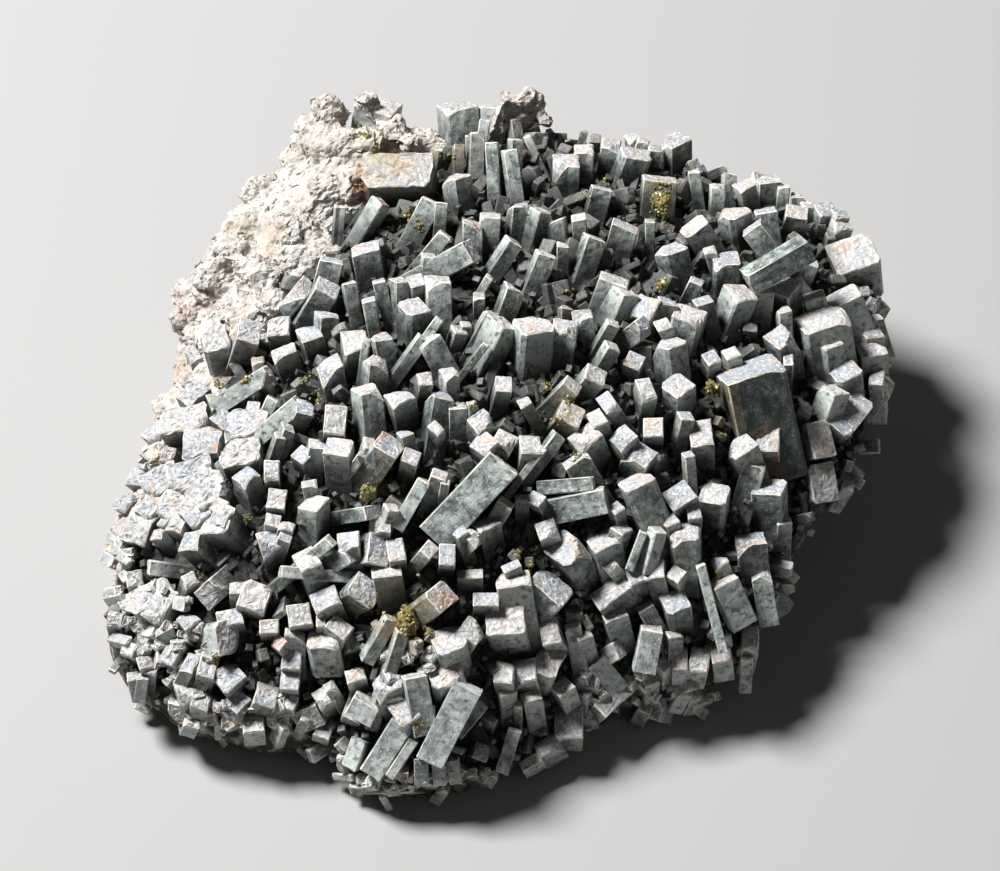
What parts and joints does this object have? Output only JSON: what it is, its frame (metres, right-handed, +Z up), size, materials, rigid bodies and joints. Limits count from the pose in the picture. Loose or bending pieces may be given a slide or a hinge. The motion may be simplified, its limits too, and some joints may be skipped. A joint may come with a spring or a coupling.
{
  "type": "mineral specimen",
  "caption": "Free-standing mineral specimen: a low dome of blocky uralite crystals grown together over a rough pale rock, with small knobs of epidote.",
  "frame": {"origin": "middle of the flat foot, at the bottom centre of the bounding box", "axes": "+X along the longest side, +Z up, the pictured front faces -Y"},
  "size_m": [0.1596, 0.1506, 0.0623],
  "materials": {
    "matrix_rock": "rough granular rock, cream and tan, dark grey low on the right",
    "uralite": "grey-green striated crystal sides with tan to lilac-grey caps and cream worn edges",
    "epidote": "granular yellow-green to golden knobs"
  },
  "bodies": {
    "root": {"matrix": "matrix_rock", "crystal_crust": "uralite", "epidote_knob_1": "epidote", "epidote_knob_2": "epidote", "epidote_knob_3": "epidote", "epidote_knob_4": "epidote", "epidote_knob_5": "epidote"}
  },
  "joints": []
}
